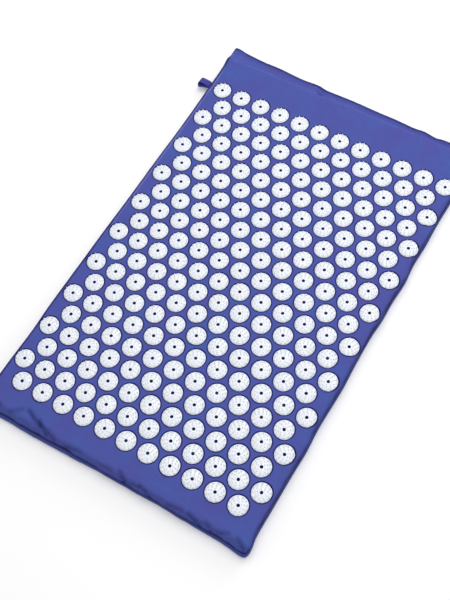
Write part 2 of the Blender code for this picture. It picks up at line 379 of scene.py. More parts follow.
def columns_of_sheet():
    """(share, x) of each column: a signed share in the rolls, x on the flat."""
    edge = half_width - side_zone
    left = [(-share, -edge) for share in zone_shares]
    flat = [(0.0, edge * (2 * step / flat_columns - 1)) for step in range(1, flat_columns)]
    return left + flat + [(-share, -x) for share, x in left[::-1]]


def rows_of_sheet(*stretches):
    """(share, y) of each row: the near roll, then stretches of (end, number of rows)."""
    edge = near_seam + near_zone
    rows = [(share, edge) for share in zone_shares]
    for end, count in stretches:
        rows += [(0.0, edge + (end - edge) * step / count) for step in range(1, count + 1)]
        edge = end
    return rows


def make_sheet(name, columns, rows, point_at, shade_of):
    """A grid with a point for each column and row, moved to its place, with painted shade and highlight."""
    faces = {"x_subdivisions": len(columns) - 1, "y_subdivisions": len(rows) - 1}
    sheet = new_piece(name, bpy.ops.mesh.primitive_grid_add, size=1, **faces)
    for shade in ("painted_shade", "painted_highlight"):
        sheet.data.attributes.new(shade, "FLOAT", "POINT")
    for point in sheet.data.vertices:
        column = columns[round((point.co.x + 0.5) * (len(columns) - 1))]
        row = rows[round((point.co.y + 0.5) * (len(rows) - 1))]
        point.co = point_at(column, row)
        for shade, value in zip(("painted_shade", "painted_highlight"), shade_of(column[0], row[0], point.co)):
            sheet.data.attributes[shade].data[point.index].value = value
    return sheet


print(len(columns_of_sheet()), "columns in a cover sheet")

# %% [markdown]
# ## The foam
# The pad is cut from a sheet of polyurethane foam, so its faces are flat and
# its edges a little rounded. It starts as a cube with bevelled edges, which is
# divided by cuts, because the cover presses its seam and its dents into it.

# %% Foam pad
foam_length = mm(652)
foam_width = mm(411)
foam_thickness = mm(20)
foam_bottom = mm(1.1)
foam_rounding = mm(3)
press_depth = mm(2.6)
press_reach = mm(4.5)
dent_share = 1.15  # a little deeper than the cloth's own dents, so that it stays under them


def cut_across(places, normal):
    """Cuts the mesh in edit mode at each place along the normal."""
    for place in places:
        bpy.ops.mesh.select_all(action="SELECT")
        bpy.ops.mesh.bisect(plane_co=Vector(normal) * place, plane_no=normal)


middle = (0, 0, foam_bottom + foam_thickness / 2)
foam = new_piece("foam_slab", bpy.ops.mesh.primitive_cube_add, size=1, location=middle)
foam.scale = (foam_width, foam_length, foam_thickness)
settle(foam)
edit(foam)
bpy.ops.mesh.bevel(offset=foam_rounding, segments=4, affect="EDGES")
cut_across([mm(15.5 * cut) for cut in range(-20, 21)], (0, 1, 0))
cut_across([mm(height) for height in (4.5, 7.0, 9.0, 11.0, 13.0, 15.0, 17.5)], (0, 0, 1))
cut_across([mm(-321 + 4 * cut) for cut in range(7)], (0, 1, 0))
cut_across([mm(6.2 * cut) for cut in range(-32, 33)], (1, 0, 0))
bpy.ops.object.mode_set(mode="OBJECT")
for point in foam.data.vertices:
    pressed = press_depth * math.exp(-((point.co.z - seam_height) / press_reach) ** 2)
    x, y, height = point.co
    if y < dents_end and height > mm(12):
        point.co.z -= dent_share * furrows(dents, x, y)
    point.co.x, point.co.y = swung(x, y, 0)
    if abs(x) > foam_width / 2 - mm(4):
        point.co.x -= math.copysign(pressed, x)
    if y < mm(-322):
        point.co.y += pressed
bpy.ops.object.shade_smooth_by_angle(angle=math.radians(40))
print("foam", len(foam.data.polygons), "faces")

# %% [markdown]
# ## Round the roll
# A point's share says how far round the roll it has gone. Round a corner of
# the mat, its angle says how much it follows the near end's table instead of
# the side's. One function rolls both cloths.

# %% Rolled points
corner_power = 0.6  # rounds the corner between a side and the near end
lip_start = 0.8
tuck_slope = 0.45


def on_roll(table, share):
    """How far out and down a share of the roll is, from its table."""
    out = np.interp(share, roll_shares, [row[0] for row in table])
    down = np.interp(share, roll_shares, [row[1] for row in table])
    return out - max(share - 1, 0) * tuck_slope, down


def ring_and_angle(side, near):
    """How far round the roll a point is, and its angle, from 0 at a side to 90 at the near end."""
    ring = max(abs(side), near)
    if ring == 0:
        return 0.0, 0.0
    if abs(side) >= near:
        return ring, math.pi / 4 * near / abs(side)
    return ring, math.pi / 2 - math.pi / 4 * abs(side) / near


def rolled(column, row, side_table, near_table, swell, lip=1.0):
    """Where the roll takes a grid point: x, y, the gathers there, how far down, how far round."""
    side, x = column
    near, y = row[:2]
    ring, angle = ring_and_angle(side, near)
    toward_near = math.sin(angle) ** 2
    side_out, side_down = on_roll(side_table, ring)
    near_out, near_down = on_roll(near_table, ring)
    near_out = min(near_out, lip_start + (near_out - lip_start) * lip)
    if ring > 0:
        x += math.copysign(side_zone * side_out * math.cos(angle) ** corner_power, side or 1)
        y -= near_zone * near_out * math.sin(angle) ** corner_power
    out = gather(x, ring, toward_near, swell)
    return x, y, out, side_down + (near_down - side_down) * toward_near, ring


# %% [markdown]
# ## The flap and its folds
# The end of the top cloth runs down from the ridge to the hem. It is loose, so
# it has folds of its own, the longest of them along the ridge.

# %% Flap
folds_start = mm(300)

# The flap from the ridge down to the hem's edge: y and height, in millimetres.
flap_line = [
    (320.5, 22.2), (323.5, 22.3), (325.8, 22.0), (327.6, 20.6), (329.4, 18.0), (331.2, 15.2),
    (333.0, 12.5), (334.8, 10.0), (336.6, 8.0), (338.4, 6.9), (340.4, 6.5), (343.2, 6.4),
    (345.8, 6.6), (348.0, 7.2), (350.0, 7.4), (351.4, 6.3),
]
flap_rows = [(0.0, mm(y), mm(height)) for y, height in flap_line]

# Each fold: the x and y of its two ends, its width and its height, in millimetres.
folds = [
    (-20, 332.4, 128, 330.8, 1.5, 1.3),
    (-30, 329.4, 132, 327.6, 1.2, -0.9),
    (-64, 347.0, -36, 330.0, 3.6, -2.4),
    (-30, 335.0, 8, 341.0, 3.0, 1.0),
    (40, 312.0, 84, 327.0, 4.5, -0.7),
    (84, 316.0, 132, 327.5, 3.6, 0.8),
    (132, 328.0, 160, 341.0, 3.2, -1.6),
    (150, 326.0, 178, 340.0, 3.0, 1.5),
    (172, 327.0, 196, 342.0, 2.8, -1.2),
    (-128, 341.0, -110, 347.0, 3.0, 0.6),
]


def share_of_fall(y):
    """0 up to the ridge, 1 from the start of the hem, where the flap has come down."""
    return between(y, ridge, hem_start)


def seam_at(fall):
    return seam_height + (hem_seam_height - seam_height) * fall


print(len(folds), "folds")

# %% [markdown]
# ## The top cloth
# One cloth covers the top and runs on over the ridge as the closing flap. Its
# edge drops to the seam along both sides and the near end.

# %% Top cloth, before it settles
top_swell = mm(2.0)


def top_point(column, row):
    """The place of a grid point on the top cloth."""
    side_roll = left_roll if column[0] < 0 else right_roll
    x, y, out, down, ring = rolled(column, row, side_roll, near_roll, top_swell)
    fall = share_of_fall(row[1])
    height = row[2] if len(row) == 3 else top
    lift = 0.0
    if y > folds_start:
        lift = furrows(folds, x, y) * (1 - min(abs(column[0]), 1.0))
    if y < dents_end:
        lift -= furrows(dents, x, y) * (1 - between(ring, 0.5, 1))
    x, y = swung(x, y, fall)
    edge = seam_at(fall) + seam_gap / 2
    return (x, y - out, height + lift - (height - edge) * down)


def top_shade(side, near, place):
    """Painted shade in seam, dents, walls and the hem's fold; painted highlight on the left edge and the
    ridge's fold.
    """
    x, y = place[:2]
    fall = share_of_fall(y)
    if side < 0:
        wall = between(-side, 0.25, 0.41) * (1 - 0.7 * between(-side, 0.70, 0.84))
    else:
        wall = 0.6 * between(side, 0.62, 0.74)
    seam = between(max(abs(side), near), 0.86, 0.96)
    edge = between(y - hem_slant(x), hem_edge - mm(4.4), hem_edge - mm(2))
    # painted shade in the seam, on the sides' walls and at the hem's fold
    dark = max(seam * (1 - fall), wall * (abs(side) >= near) * (1 - fall), 0.9 * edge)
    # painted shade in the dents above the near seam
    if y < dents_end:
        dark += furrows(dents, x, y) / mm(3.2)
    # painted highlight along the left edge and on the ridge's fold
    on_edge = between(-side, 0.0, 0.18) * between(side, -0.5, -0.18)
    light = on_edge * between(y, mm(-60), mm(60)) * between(-y, mm(-310), mm(-285))
    if y > folds_start:
        crest = furrows(folds[:1], x, y - hem_slant(x) * fall) / mm(1.3)
        light = max(light, 0.3 * crest ** 2)
    return min(dark, 1.0), light


top_rows = rows_of_sheet((mm(-296), 12), (mm(-262), 7), (mm(262), 50), (mm(317), 13)) + flap_rows
top_cloth = make_sheet("top_cloth", columns_of_sheet(), top_rows, top_point, top_shade)
print("top cloth", len(top_cloth.data.polygons), "faces")

# %% [markdown]
# ## Where the cloth is held
# The cover is held at its seams, at the hem and under each disc. Everywhere
# else it is free to settle.

# %% Held points


def share_of_hold(point):
    """1 where the cloth is sewn or welded down, 0 where it is free."""
    nearest = np.min(np.hypot(*(disc_centres - np.array(point[:2])).T))
    sewn = point.z < seam_height + mm(2.5) and point.y < ridge
    hemmed = point.y > hem_start + hem_slant(point.x) + mm(1)
    flap_side = point.y > ridge and abs(point.x) > half_width - mm(4)
    left_wall = point.y < ridge and point.x < mm(3.5) - half_width - swing(left_swing, point.y)
    return 1.0 if nearest < disc_radius or sewn or hemmed or flap_side or left_wall else 0.0


held_points = sum(share_of_hold(point.co) for point in top_cloth.data.vertices)
print(int(held_points), "of", len(top_cloth.data.vertices), "points are held")

# %% [markdown]
# ## Letting the cloth settle
# A sewn cover is never quite tight. Blender's cloth simulation gives it a
# little spare length, mostly in the rolls and the flap, and lets it settle on
# the foam. No point may move further than a real cover would.

# %% Cloth simulation
settle_frames = 22
most_move = mm(2.2)
fabric = {
    "quality": 6, "mass": 0.25, "tension_stiffness": 20, "compression_stiffness": 20,
    "shear_stiffness": 8, "bending_stiffness": 0.6, "vertex_group_mass": "held",
    "vertex_group_shrink": "snug", "shrink_min": -0.022, "shrink_max": -0.002,
}


def settle_cloth(sheet, base):
    """Lets a sheet settle on its base, and gives the furthest move before it is limited."""
    held = sheet.vertex_groups.new(name="held")
    snug = sheet.vertex_groups.new(name="snug")
    for point in sheet.data.vertices:
        held.add([point.index], share_of_hold(point.co), "REPLACE")
        inside = abs(point.co.x) < half_width - mm(8) and mm(-318) < point.co.y < mm(285)
        snug.add([point.index], 1.0 if inside else 0.0, "REPLACE")
    before = np.array([point.co[:] for point in sheet.data.vertices])
    base.modifiers.new("foam under the cloth", "COLLISION")
    base.collision.thickness_outer = mm(0.6)
    modifier = sheet.modifiers.new("settling", "CLOTH")
    for name, value in fabric.items():
        setattr(modifier.settings, name, value)
    modifier.collision_settings.distance_min = mm(1)
    modifier.point_cache.frame_start = 1
    modifier.point_cache.frame_end = settle_frames
    scene = bpy.context.scene
    for number in range(1, settle_frames + 1):
        scene.frame_set(number)
    depsgraph = bpy.context.evaluated_depsgraph_get()
    settled = np.array([point.co[:] for point in sheet.evaluated_get(depsgraph).data.vertices])
    sheet.modifiers.remove(modifier)
    base.modifiers.remove(base.modifiers["foam under the cloth"])
    scene.frame_set(1)
    move = settled - before
    length = np.linalg.norm(move, axis=1, keepdims=True)
    move = move * np.minimum(1, most_move / np.maximum(length, mm(0.001)))
    for point, place in zip(sheet.data.vertices, before + move):
        point.co = place
    return length.max()


furthest = settle_cloth(top_cloth, foam)
print("cloth moved up to", round(1000 * furthest, 2), "mm")

# %% [markdown]
# ## Thickness of a sheet
# One level of subdivision rounds the folds. Solidify then gives the canvas its
# thickness inwards, so that its outer face stays in place. The hanging loop's
# strip is thickened to both sides.

# %% Thicken the top cloth


def thicken(sheet, thickness=cloth, offset=-1):
    """Rounds the folds and adds the thickness: inwards at an offset of -1, both ways at 0."""
    smooth = sheet.modifiers.new("smooth folds", "SUBSURF")
    smooth.levels = 1
    smooth.render_levels = 1
    wall = sheet.modifiers.new("thickness", "SOLIDIFY")
    wall.thickness = thickness
    wall.offset = offset
    pick(sheet)
    for modifier in (smooth, wall):
        bpy.ops.object.modifier_apply(modifier=modifier.name)
    bpy.ops.object.shade_smooth()
    print(sheet.name, len(sheet.data.polygons), "faces")


thicken(top_cloth)

# %% [markdown]
# ## The bottom cloth
# The sole lies flat on the floor, and its edge bulges out before it turns up to
# the seam. Past the ridge the wall gets lower and ends at the hem. At the near
# end the bulge stands out as a lip, which is narrower in the middle.

# %% Bottom cloth
# The lip along the near end: x in millimetres, and the share of it that stands out.
lip_table = [(-209, 1.0), (-60, 1.0), (-10, 0.4), (120, 0.35), (165, 0.8), (209, 1.0)]
bottom_swell = mm(0.3)


def bottom_point(column, row):
    """The place of a grid point on the bottom cloth."""
    side_sole = left_sole if column[0] < 0 else right_sole
    lip = np.interp(1000 * column[1], [x for x, share in lip_table], [share for x, share in lip_table])
    x, y, out, up, ring = rolled(column, row, side_sole, near_sole, bottom_swell, lip)
    fall = share_of_fall(row[1])
    x, y = swung(x, y, fall)
    return (x, y - out, (seam_at(fall) - seam_gap / 2) * up)


def bottom_shade(side, near, place):
    """Painted shade in the seam."""
    return between(max(abs(side), near), 0.93, 1.0), 0.0


bottom_rows = rows_of_sheet((mm(-262), 14), (mm(262), 30), (ridge, 16))
bottom_rows += [(0.0, hem_start + hem_width * step / 4) for step in range(5)]
bottom_cloth = make_sheet("bottom_cloth", columns_of_sheet(), bottom_rows, bottom_point, bottom_shade)
edit(bottom_cloth)
bpy.ops.mesh.flip_normals()
bpy.ops.object.mode_set(mode="OBJECT")
thicken(bottom_cloth)

# %% [markdown]
# ## Hems and tapes
# Each cloth ends in a turned hem: the edge is folded back and stitched, with
# the tape sewn on it. A strip starts as a cube, follows the slant of the hem,
# and has its long outer edge rounded where the cloth folds.

# %% Hems and tapes
hem_middle = hem_edge - hem_width / 2
strip_parts = 32


def strip(name, length, width, low, high, round_by, outward=0.0):
    """A flat strip across the mat between two heights, divided to follow the hem."""
    middle = (0, hem_middle + outward, (low + high) / 2)
    piece = new_piece(name, bpy.ops.mesh.primitive_cube_add, size=1, location=middle)
    piece.scale = (length, width, high - low)
    settle(piece)
    edit(piece)
    bpy.ops.mesh.bevel(offset=round_by, segments=2, affect="EDGES")
    cuts = range(1 - strip_parts // 2, strip_parts // 2)
    cut_across([cut * length / strip_parts for cut in cuts], (1, 0, 0))
    bpy.ops.object.mode_set(mode="OBJECT")
    for point in piece.data.vertices:
        point.co.y += hem_slant(point.co.x)
    bpy.ops.object.shade_smooth_by_angle(angle=math.radians(50))
    return piece


hem_length = 2 * (half_width - mm(4))
fold_width = hem_width - mm(1.5)
tape_length = 2 * (half_width - mm(12))
tape_width = mm(11)
bottom_hem = strip("bottom_hem_fold", hem_length, fold_width, mm(0.7), mm(1.6), mm(0.4), mm(0.6))
hook_strip = strip("hook_strip", tape_length, tape_width, mm(1.9), mm(3.1), mm(0.25))
pile_strip = strip("pile_strip", tape_length, tape_width, mm(3.4), mm(4.6), mm(0.5))
flap_hem = strip("flap_hem_fold", hem_length, fold_width, mm(4.9), mm(5.8), mm(0.4), mm(0.6))
print("hems", round(1000 * hem_length, 1), "mm, tapes", round(1000 * tape_length, 1), "mm long")

# %% [markdown]
# ## Stitches
# A row of lock stitches holds each hem, and only the flap's row shows. A stitch
# is a short thread, sunk at both ends, so one is made from a small sphere,
# drawn out and flattened, and copied along the row.

# %% Stitches
stitch_length = mm(2.7)
stitch_pitch = mm(3.3)
thread = mm(0.45)
stitch_count = int(2 * (half_width - mm(6)) / stitch_pitch)
stitch_y = hem_start + mm(2.2)

sphere = bpy.ops.mesh.primitive_uv_sphere_add
flap_stitches = new_piece("flap_hem_stitches", sphere, segments=6, ring_count=4, radius=0.5)
flap_stitches.rotation_euler = (0, math.pi / 2, 0)
settle(flap_stitches)
flap_stitches.scale = (stitch_length, thread, thread * 0.8)
settle(flap_stitches)
points = []
for number in range(stitch_count + 1):
    x = (number - stitch_count / 2) * stitch_pitch
    height = hem_top + mm(0.05) + furrows(folds, x, stitch_y)
    points.append(Vector((x, stitch_y + hem_slant(x), height)))
built = bmesh.new()
for start, end in zip(points, points[1:]):
    turn = (end - start).normalized().to_track_quat("X", "Z").to_matrix().to_4x4()
    place = Matrix.Translation((start + end) / 2) @ turn
    before = len(built.verts)
    built.from_mesh(flap_stitches.data)
    built.verts.ensure_lookup_table()
    bmesh.ops.transform(built, matrix=place, verts=built.verts[before:])
built.to_mesh(flap_stitches.data)
built.free()
pick(flap_stitches)
bpy.ops.object.shade_smooth()
print(stitch_count, "stitches in the row")

# %% [markdown]
# ## The hanging loop
# A strip of the same cotton is folded in half and its two ends are sewn into
# the left seam. Seen from the near end it is a narrow eye, whose lower half
# leans towards the near end.

# %% Outline of the loop
loop_root = Vector((mm(-210.345), mm(273.5), seam_height))
loop_width = mm(10.2)
loop_centre = mm(16.7)
loop_middle = mm(2.6)
loop_half_gap = mm(0.65)
loop_side_parts = 6
loop_end_parts = 12

# The eye's middle line from one sewn end round to the other, as (out, up).
lean = math.asin((loop_middle - loop_half_gap) / loop_centre)
outline = []
for number in range(loop_side_parts + 1):
    share = number / loop_side_parts
    rise = loop_half_gap + (loop_middle * math.cos(lean) - loop_half_gap) * share
    outline.append(((loop_centre - loop_middle * math.sin(lean)) * share, rise))
lower_side = [(out, -up) for out, up in outline[::-1]]
for number in range(1, loop_end_parts):
    angle = math.pi / 2 + lean - (math.pi + 2 * lean) * number / loop_end_parts
    outline.append((loop_centre + loop_middle * math.cos(angle), loop_middle * math.sin(angle)))
outline += lower_side
print(len(outline), "points round the loop")

# %% [markdown]
# ## The loop's strip
# The strip is a grid whose columns follow the outline. It narrows round its
# end, sags and twists a little, and takes painted shade where the upper half covers it.

# %% Hanging loop
loop_twist = math.radians(5)
loop_sag = mm(1.6)
loop_rows = 6
strip_thickness = mm(1.1)
lower_half = len(outline) // 2 + 2


def loop_point(column, row):
    out, up = outline[column[1]]
    share = min(out / loop_centre, 1.0)
    twist = loop_twist * share * share * (3 - 2 * share)
    narrowed = 1 - 0.25 * max(out - loop_centre, 0) / loop_middle
    across = loop_width * (row[1] / loop_rows - 0.5) * narrowed
    y = across * math.cos(twist) + up * (math.sin(twist) + 1.0) - loop_sag * share * share
    z = up * math.cos(twist) - across * math.sin(twist)
    return (loop_root.x - out, loop_root.y + y, loop_root.z + z)


# painted shade on the lower half, where the upper half covers it
def loop_shade(lower, covered, place):
    return 0.9 * lower * covered, 0.0


loop_columns = [(float(column > lower_half), column) for column in range(len(outline))]
loop_grid_rows = [(between(row, 1, 2), row) for row in range(loop_rows + 1)]
hanging = make_sheet("hanging_loop_strip", loop_columns, loop_grid_rows, loop_point, loop_shade)
thicken(hanging, strip_thickness, 0)

# %% [markdown]
# ## One spiked disc
# The discs are moulded in ABS. Each is a thin round plate with 27 pointed
# spikes in three rings, a hole in the middle, and four small weld marks near
# its rim. The plate starts as a cylinder, whose top is inset and raised for
# the sloped rim and inset again for the hole.

# %% Plate
plate_radius = mm(13.7)
plate_thickness = mm(1.7)
rim_width = mm(1.0)
rim_rise = mm(1.2)
hole_radius = mm(2.45)
hole_depth = mm(1.5)

cylinder = bpy.ops.mesh.primitive_cylinder_add
wall_height = plate_thickness - rim_rise
middle = (0, 0, wall_height / 2)
disc = new_piece(
    "spiked_disc", cylinder, vertices=24, radius=plate_radius, depth=wall_height, location=middle
)
settle(disc)
bpy.ops.object.mode_set(mode="EDIT")
bpy.ops.mesh.select_mode(type="FACE")
bpy.ops.mesh.select_all(action="DESELECT")
mesh = bmesh.from_edit_mesh(disc.data)
for face in mesh.faces:
    face.select_set(face.normal.z > 0.9)
bmesh.update_edit_mesh(disc.data)
bpy.ops.mesh.inset(thickness=rim_width, depth=rim_rise)
bpy.ops.mesh.inset(thickness=plate_radius - rim_width - hole_radius)
bpy.ops.mesh.extrude_region_move(TRANSFORM_OT_translate={"value": (0, 0, -hole_depth)})
bpy.ops.object.mode_set(mode="OBJECT")
print("the plate has", len(disc.data.polygons), "faces")

# %% [markdown]
# ## Spikes and weld marks
# There are 6,210 spikes, so each is a cone with only five sides. A face
# attribute notes which finish each face takes, because every copy of the disc
# keeps it: 0 for the plate and its spikes.

# %% Spikes and weld marks
spike_height = mm(4.5)
spike_rings = ((12, mm(11.7), mm(1.4)), (9, mm(8.2), mm(1.1)), (6, mm(5.0), mm(1.0)))
mark_radius = mm(0.65)
mark_ring = mm(11.4)
mark_reach = mm(0.9)
mark_size = mm(1.4)
marked = 1
# faces in the hole, walls and floor alike, which take painted shade
in_hole = 2


def join(pieces):
    """Joins pieces into the first one."""
    pick(pieces[0])
    for piece in pieces:
        piece.select_set(True)
    bpy.ops.object.join()
    settle(pieces[0])


cone = bpy.ops.mesh.primitive_cone_add
disc_parts = [disc]
for count, radius, base in spike_rings:
    for number in range(count):
        angle = 2 * math.pi * (number + 0.5) / count
        place = (radius * math.cos(angle), radius * math.sin(angle), plate_thickness + spike_height / 2)
        spike = new_piece("spike", cone, vertices=5, radius1=base, depth=spike_height, location=place)
        disc_parts.append(spike)
for number in range(4):
    angle = math.pi / 2 * number
    place = (mark_ring * math.cos(angle), mark_ring * math.sin(angle), plate_thickness + mm(0.1))
    mark = new_piece("mark", cylinder, vertices=6, radius=mark_radius, depth=mm(0.6), location=place)
    disc_parts.append(mark)
join(disc_parts)
bpy.ops.object.shade_smooth_by_angle(angle=math.radians(75))
finish = disc.data.attributes.new("finish", "INT", "FACE")
for face, kind in zip(disc.data.polygons, finish.data):
    away = face.center.xy.length
    off_mark = min(abs(face.center.x), abs(face.center.y))
    if away <= hole_radius:
        kind.value = in_hole
    elif off_mark < mark_reach and abs(away - mark_ring) < mark_reach and face.area < mark_size ** 2:
        kind.value = marked
print("one disc has", len(disc.data.polygons), "faces")

# %% [markdown]
# ## The field of discs
# Each disc is a copy with its own mesh, turned by chance about its middle and
# tilted by a fraction of a degree, as the cloth under it allows. The discs of
# a row are joined, which keeps the list of pieces short.

# %% Rows of discs
chance = random.Random(7)
most_tilt = 0.5
disc_height = top - mm(0.15)
disc_shift = mm(-0.3)  # what was left between these discs and the photographed ones
disc_row_pieces = []
for number, places in enumerate(disc_rows):
    copies = []
    for place in places:
        copy = bpy.data.objects.new("disc_copy", disc.data.copy())
        bpy.context.scene.collection.objects.link(copy)
        copy.location = (place.x, place.y + disc_shift, disc_height)
        copy.rotation_euler = (
            math.radians(chance.uniform(-most_tilt, most_tilt)),
            math.radians(chance.uniform(-most_tilt, most_tilt)),
            math.radians(chance.uniform(0, 360)),
        )
        copies.append(copy)
    join(copies)
    copies[0].name = f"disc_row_{number + 1:02d}"
    copies[0].data.name = copies[0].name
    disc_row_pieces.append(copies[0])
bpy.data.objects.remove(disc)
print(len(disc_row_pieces), "rows of discs")

# %% [markdown]
# ## Shader nodes
# Colours are easier to read as the hex codes that a paint program shows. One
# function adds every shader node, because nodes differ only in their settings
# and inputs.

# %% Shader nodes


def colour(code):
    """An sRGB hex colour as the linear values that a shader takes."""
    linear = []
    for start in (1, 3, 5):
        channel = int(code[start:start + 2], 16) / 255
        linear.append(channel / 12.92 if channel <= 0.04045 else ((channel + 0.055) / 1.055) ** 2.4)
    return (*linear, 1.0)


def feed(node, inputs):
    """Sets inputs of a node, each to a value, an output, or a node's first output."""
    for name, value in inputs.items():
        if isinstance(value, bpy.types.Node):
            value = next(output for output in value.outputs if output.enabled)
        if isinstance(value, bpy.types.NodeSocket):
            node.id_data.links.new(value, node.inputs[name])
        else:
            node.inputs[name].default_value = value


def add(tree, kind, inputs, **settings):
    """Adds a shader node with its settings, and feeds its inputs."""
    new = tree.nodes.new("ShaderNode" + kind)
    for name, value in settings.items():
        setattr(new, name, value)
    feed(new, inputs)
    return new


def new_material(name):
    """A material, its node tree, its shader, and the place on the piece."""
    material = bpy.data.materials.new(name)
    material.use_nodes = True
    tree = material.node_tree
    return material, tree, tree.nodes["Principled BSDF"], add(tree, "TexCoord", {}).outputs["Object"]


# %% [markdown]
# ## Rings round the discs
# The hot weld has pressed the cloth in a thin ring round each disc, and painted
# shade darkens the ring. The rings come from the same pitches and shift as the
# discs: the place is turned upright, counted in pitches and wrapped into one
# cell round the nearest disc, apart for rows of twelve and of eleven.

# %% Pressed rings with painted shade
ring_start = disc_radius + mm(0.6)
ring_end = disc_radius + mm(2.4)


def ring_dent_and_painted_shade(tree, place):
    """1 in a ring round each disc, for a pressed dent and painted shade, and 0 elsewhere."""
    field = {"Vector": place, "Location": field_shift, "Rotation": (0, 0, field_turn)}
    upright = add(tree, "Mapping", field, vector_type="TEXTURE")
    per_cell = (1 / disc_pitch, 0.5 / row_pitch, 0)
    ring = None
    # For each kind of row: the shift of its cells, half its discs, and the middle of its rows.
    for shift, half_count, centre in (((0.5, 0.75), 6, 0.25), ((0.0, 0.25), 5.5, -0.25)):
        counted = add(tree, "VectorMath", {0: upright, 1: per_cell}, operation="MULTIPLY")
        moved = add(tree, "VectorMath", {0: counted, 1: (*shift, 0)}, operation="SUBTRACT")
        limits = {0: moved, 1: (0.5, 0.5, 1), 2: (-0.5, -0.5, -1)}
        inner = add(tree, "VectorMath", limits, operation="WRAP")
        in_metres = {0: inner, 1: (disc_pitch, 2 * row_pitch, 0)}
        away = add(tree, "VectorMath", in_metres, operation="MULTIPLY")
        reach = add(tree, "VectorMath", {0: away}, operation="LENGTH")
        fade = {"Value": reach, "From Min": ring_start, "From Max": ring_end, "To Min": 1.0, "To Max": 0.0}
        near = add(tree, "MapRange", fade, interpolation_type="SMOOTHSTEP")
        offset = add(tree, "VectorMath", {0: counted, 1: (0, centre, 0)}, operation="SUBTRACT")
        size = add(tree, "VectorMath", {0: offset}, operation="ABSOLUTE")
        parts = add(tree, "SeparateXYZ", {0: size})
        for axis, limit in (("X", half_count), ("Y", row_count / 4)):
            inside = add(tree, "Math", {0: parts.outputs[axis], 1: limit}, operation="LESS_THAN")
            near = add(tree, "Math", {0: near, 1: inside}, operation="MULTIPLY")
        ring = near if ring is None else add(tree, "Math", {0: ring, 1: near}, operation="MAXIMUM")
    height = add(tree, "SeparateXYZ", {0: place}).outputs["Z"]
    on_top = add(tree, "Math", {0: height, 1: mm(20)}, operation="GREATER_THAN")
    return add(tree, "Math", {0: ring, 1: on_top}, operation="MULTIPLY")


# %% [markdown]
# ## Cotton canvas
# The cover is plain-woven cotton, dyed violet blue and matt, with a faint
# bloom of loose fibres at a shallow angle. Its threads are about 0.5 mm apart.
# That is finer than a pixel of this picture, so the weave is drawn at 1.1 mm.
# Cotton takes dye a little unevenly, which two layers of noise give. Painted
# shade darkens it in creases, walls, dents and rings round the discs, unevenly
# so where it is gathered, and a painted highlight makes it a little paler along
# the left edge and the ridge's fold.

# %% Canvas material
painted_highlight_share = 0.35
bloom = {"Sheen Weight": 0.04, "Sheen Roughness": 0.4, "Specular IOR Level": 0.12}


def band_scale(spacing):
    """The Wave texture's scale for bands that are this far apart."""
    return 2 * math.pi / 20 / spacing


def cotton(name, blue, violet, shaded, thread_spacing, with_rings=False):
    """Woven cotton of two dye colours and one for painted shade, with or without the discs' rings."""
    material, tree, shader, place = new_material(name)
    patches = add(tree, "TexNoise", {"Vector": place, "Scale": 1 / mm(38), "Detail": 2.0})
    yarn = add(tree, "TexNoise", {"Vector": place, "Scale": 1 / mm(2.4), "Detail": 2.0})
    both = add(tree, "Math", {0: yarn, 1: 0.25, 2: patches}, operation="MULTIPLY_ADD")
    dye = add(tree, "MapRange", {"Value": both, "From Min": 0.42, "From Max": 0.82})
    two_dyes = {"Factor": dye, "A": colour(violet), "B": colour(blue)}
    dyed = add(tree, "Mix", two_dyes, data_type="RGBA")
    # painted highlight from the sheet's attribute, in a paler violet
    highlight_amount = add(tree, "Attribute", {}, attribute_name="painted_highlight").outputs["Fac"]
    highlight_amount = add(tree, "Math", {0: highlight_amount, 1: painted_highlight_share}, operation="MULTIPLY")
    painted_highlight = {"Factor": highlight_amount, "A": dyed, "B": colour("#8C90C8")}
    with_painted_highlight = add(tree, "Mix", painted_highlight, data_type="RGBA")

    # painted shade from the sheet's attribute, made uneven where the cloth is gathered
    shade = add(tree, "Attribute", {}, attribute_name="painted_shade").outputs["Fac"]
    pinch = add(tree, "TexNoise", {"Vector": place, "Scale": 1 / mm(7), "Detail": 1.0})
    spread = {"Value": pinch, "From Min": 0.35, "From Max": 0.65, "To Min": 0.85, "To Max": 1.12}
    uneven = add(tree, "MapRange", spread)
    shade = add(tree, "Math", {0: shade, 1: uneven}, operation="MULTIPLY", use_clamp=True)
    darkened = shade
    if with_rings:
        # painted shade round each disc's rim, with a pressed dent in the bump below
        ring_dent_and_shade = ring_dent_and_painted_shade(tree, place)
        darkened = add(tree, "Math", {0: shade, 1: ring_dent_and_shade}, operation="MAXIMUM")
    # painted shade over the dyed colour
    in_shade = {"Factor": darkened, "A": with_painted_highlight, "B": colour(shaded)}
    with_painted_shade = add(tree, "Mix", in_shade, data_type="RGBA")

    threads = {"Vector": place, "Scale": band_scale(thread_spacing), "Distortion": 0.6}
    warp = add(tree, "TexWave", threads, bands_direction="X").outputs["Fac"]
    weft = add(tree, "TexWave", threads, bands_direction="Y").outputs["Fac"]
    height = add(tree, "Math", {0: warp, 1: weft}, operation="MULTIPLY")
    if with_rings:
        gathers = add(tree, "Math", {0: shade, 1: pinch}, operation="MULTIPLY")
        height = add(tree, "Math", {0: gathers, 1: 16.0, 2: height}, operation="MULTIPLY_ADD")
        height = add(tree, "Math", {0: ring_dent_and_shade, 1: -4.0, 2: height}, operation="MULTIPLY_ADD")
    relief = add(tree, "Bump", {"Height": height, "Strength": 0.25, "Distance": mm(0.15)})
    feed(shader, {"Base Color": with_painted_shade, "Normal": relief, "Roughness": 0.85, **bloom})
    print(name, "has", len(tree.nodes), "nodes")
    return material


canvas = cotton("violet blue cotton canvas", "#4757A0", "#4D4F9A", "#191950", mm(1.1), with_rings=True)
ribbon = cotton("folded canvas strip", "#474696", "#403C8A", "#26265E", mm(0.9))

